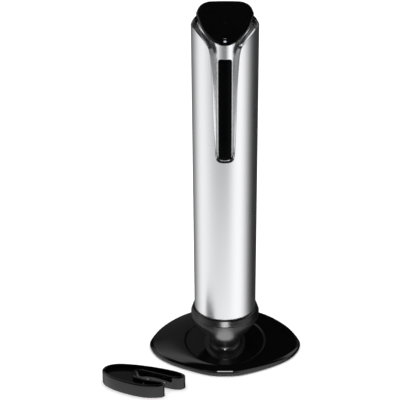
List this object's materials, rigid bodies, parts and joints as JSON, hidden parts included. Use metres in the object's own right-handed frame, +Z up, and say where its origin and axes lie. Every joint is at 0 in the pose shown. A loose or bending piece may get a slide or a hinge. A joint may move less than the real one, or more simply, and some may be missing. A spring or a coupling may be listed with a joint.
{
  "type": "electric wine opener",
  "caption": "Cordless tubular electric corkscrew with a front rocker switch, docked in a low charging stand, with a separate foil cutter.",
  "frame": {"origin": "centre of the stand's anti-slip pad, on the surface it stands on, below the opener's axis", "axes": "+Z up along the opener's axis, -Y towards the front with the rocker switch, +X to the right"},
  "size_m": [0.161, 0.1291, 0.2926],
  "materials": {
    "gloss_black": "high gloss",
    "satin_aluminium": "satin, finely brushed along the tube",
    "satin_silver": "satin silver",
    "dark_plastic": "fine matte",
    "black_rubber": "matte",
    "steel": "bright",
    "brass": "bright",
    "copper_winding": "lacquered",
    "nylon": "natural",
    "circuit_board": "solder mask",
    "clear_lens": "clear",
    "cell_wrap": "shrink wrap"
  },
  "bodies": {
    "stand": {"stand_shell": "gloss_black", "stand_pillar": "gloss_black", "docking_cup": "gloss_black", "stand_cover": "dark_plastic", "antislip_pad": "black_rubber", "ballast_plate": "steel", "stand_screws": "steel", "charge_board": "circuit_board", "charge_led": "clear_lens", "dc_inlet": "dark_plastic", "contact_board": "circuit_board", "contact_spring_left": "steel", "contact_spring_right": "steel"},
    "contact_pin_left": {"contact_pin_left": "brass"},
    "contact_pin_right": {"contact_pin_right": "brass"},
    "opener": {"outer_sleeve": "satin_aluminium", "front_bezel": "satin_silver", "top_cap": "gloss_black", "indicator_lens": "clear_lens", "status_led": "clear_lens", "main_board": "circuit_board", "tact_switches": "dark_plastic", "rocker_pin": "steel", "chassis_left": "dark_plastic", "chassis_right": "dark_plastic", "chassis_screws": "steel", "battery_cells": "cell_wrap", "battery_holder": "dark_plastic", "battery_tabs": "steel", "motor_can": "steel", "motor_cap": "dark_plastic", "gear_housing": "nylon", "gear_cover": "nylon", "spindle_bush": "brass", "cork_chamber": "dark_plastic", "bottle_collar": "dark_plastic", "stop_ring": "black_rubber", "contact_rings": "brass"},
    "rocker": {"rocker_switch": "gloss_black"},
    "plunger_up": {"plunger_up": "nylon"},
    "plunger_down": {"plunger_down": "nylon"},
    "rotor": {"motor_shaft": "steel", "motor_armature": "copper_winding", "motor_pinion": "brass"},
    "carrier_one": {"stage_one_carrier": "steel"},
    "worm": {"output_carrier": "steel", "corkscrew": "steel"},
    "foil_cutter": {"foil_cutter_body": "gloss_black", "cutter_pins": "steel"},
    "stage_one_planet_1": {"stage_one_planet_1": "nylon"},
    "stage_one_planet_2": {"stage_one_planet_2": "nylon"},
    "stage_one_planet_3": {"stage_one_planet_3": "nylon"},
    "stage_two_planet_1": {"stage_two_planet_1": "nylon"},
    "stage_two_planet_2": {"stage_two_planet_2": "nylon"},
    "stage_two_planet_3": {"stage_two_planet_3": "nylon"},
    "cutter_wheel_1": {"cutter_wheel_1": "steel"},
    "cutter_wheel_2": {"cutter_wheel_2": "steel"},
    "cutter_wheel_3": {"cutter_wheel_3": "steel"},
    "cutter_wheel_4": {"cutter_wheel_4": "steel"}
  },
  "joints": [
    {"name": "opener_lift", "type": "slide", "parent": "stand", "child": "opener", "axis": [0, 0, 1], "range_m": [0, 0.13]},
    {"name": "contact_pin_left_press", "type": "slide", "parent": "stand", "child": "contact_pin_left", "axis": [0, 0, 1], "range_m": [-0.0008, 0], "stiffness_N_per_m": 100, "springref_m": 0.002, "deforming": ["contact_spring_left"]},
    {"name": "contact_pin_right_press", "type": "slide", "parent": "stand", "child": "contact_pin_right", "axis": [0, 0, 1], "range_m": [-0.0008, 0], "stiffness_N_per_m": 100, "springref_m": 0.002, "deforming": ["contact_spring_right"]},
    {"name": "rocker_tilt", "type": "hinge", "parent": "opener", "child": "rocker", "pos_m": [0, -0.0202, 0.2227], "axis": [1, 0, 0], "range_deg": [-1.5, 1.5], "stiffness_Nm_per_rad": 1},
    {"name": "plunger_up_press", "type": "slide", "parent": "opener", "child": "plunger_up", "axis": [0, 1, 0], "range_m": [0, 0.0003], "stiffness_N_per_m": 600, "springref_m": -0.0002},
    {"name": "plunger_down_press", "type": "slide", "parent": "opener", "child": "plunger_down", "axis": [0, 1, 0], "range_m": [0, 0.0003], "stiffness_N_per_m": 600, "springref_m": -0.0002},
    {"name": "worm_spin", "type": "hinge", "parent": "opener", "child": "worm", "pos_m": [0, 0, 0.1], "axis": [0, 0, 1], "continuous": true},
    {"name": "carrier_one_spin", "type": "hinge", "parent": "opener", "child": "carrier_one", "pos_m": [0, 0, 0.15], "axis": [0, 0, 1], "continuous": true},
    {"name": "rotor_spin", "type": "hinge", "parent": "opener", "child": "rotor", "pos_m": [0, 0, 0.17], "axis": [0, 0, 1], "continuous": true},
    {"name": "stage_two_planet_1_spin", "type": "hinge", "parent": "worm", "child": "stage_two_planet_1", "pos_m": [0.0105, 0, 0.145], "axis": [0, 0, 1], "continuous": true},
    {"name": "stage_two_planet_2_spin", "type": "hinge", "parent": "worm", "child": "stage_two_planet_2", "pos_m": [-0.00525, 0.00909, 0.145], "axis": [0, 0, 1], "continuous": true},
    {"name": "stage_two_planet_3_spin", "type": "hinge", "parent": "worm", "child": "stage_two_planet_3", "pos_m": [-0.00525, -0.00909, 0.145], "axis": [0, 0, 1], "continuous": true},
    {"name": "stage_one_planet_1_spin", "type": "hinge", "parent": "carrier_one", "child": "stage_one_planet_1", "pos_m": [0.0105, 0, 0.1554], "axis": [0, 0, 1], "continuous": true},
    {"name": "stage_one_planet_2_spin", "type": "hinge", "parent": "carrier_one", "child": "stage_one_planet_2", "pos_m": [-0.00525, 0.00909, 0.1554], "axis": [0, 0, 1], "continuous": true},
    {"name": "stage_one_planet_3_spin", "type": "hinge", "parent": "carrier_one", "child": "stage_one_planet_3", "pos_m": [-0.00525, -0.00909, 0.1554], "axis": [0, 0, 1], "continuous": true},
    {"name": "foil_cutter_lift", "type": "slide", "parent": "stand", "child": "foil_cutter", "axis": [0, 0, 1], "range_m": [0, 0.05]},
    {"name": "cutter_wheel_1_spin", "type": "hinge", "parent": "foil_cutter", "child": "cutter_wheel_1", "pos_m": [-0.05977, -0.04808, 0.0047], "axis": [0, 0, 1], "continuous": true},
    {"name": "cutter_wheel_2_spin", "type": "hinge", "parent": "foil_cutter", "child": "cutter_wheel_2", "pos_m": [-0.04661, -0.05306, 0.0047], "axis": [0, 0, 1], "continuous": true},
    {"name": "cutter_wheel_3_spin", "type": "hinge", "parent": "foil_cutter", "child": "cutter_wheel_3", "pos_m": [-0.06411, -0.06193, 0.0047], "axis": [0, 0, 1], "continuous": true},
    {"name": "cutter_wheel_4_spin", "type": "hinge", "parent": "foil_cutter", "child": "cutter_wheel_4", "pos_m": [-0.05475, -0.06413, 0.0047], "axis": [0, 0, 1], "continuous": true}
  ],
  "couplings": [
    {"joint": "carrier_one_spin", "follows": "rotor_spin", "ratio": 0.2},
    {"joint": "worm_spin", "follows": "rotor_spin", "ratio": 0.04},
    {"joint": "stage_two_planet_1_spin", "follows": "rotor_spin", "ratio": -0.10667},
    {"joint": "stage_two_planet_2_spin", "follows": "rotor_spin", "ratio": -0.10667},
    {"joint": "stage_two_planet_3_spin", "follows": "rotor_spin", "ratio": -0.10667},
    {"joint": "stage_one_planet_1_spin", "follows": "rotor_spin", "ratio": -0.53333},
    {"joint": "stage_one_planet_2_spin", "follows": "rotor_spin", "ratio": -0.53333},
    {"joint": "stage_one_planet_3_spin", "follows": "rotor_spin", "ratio": -0.53333}
  ]
}
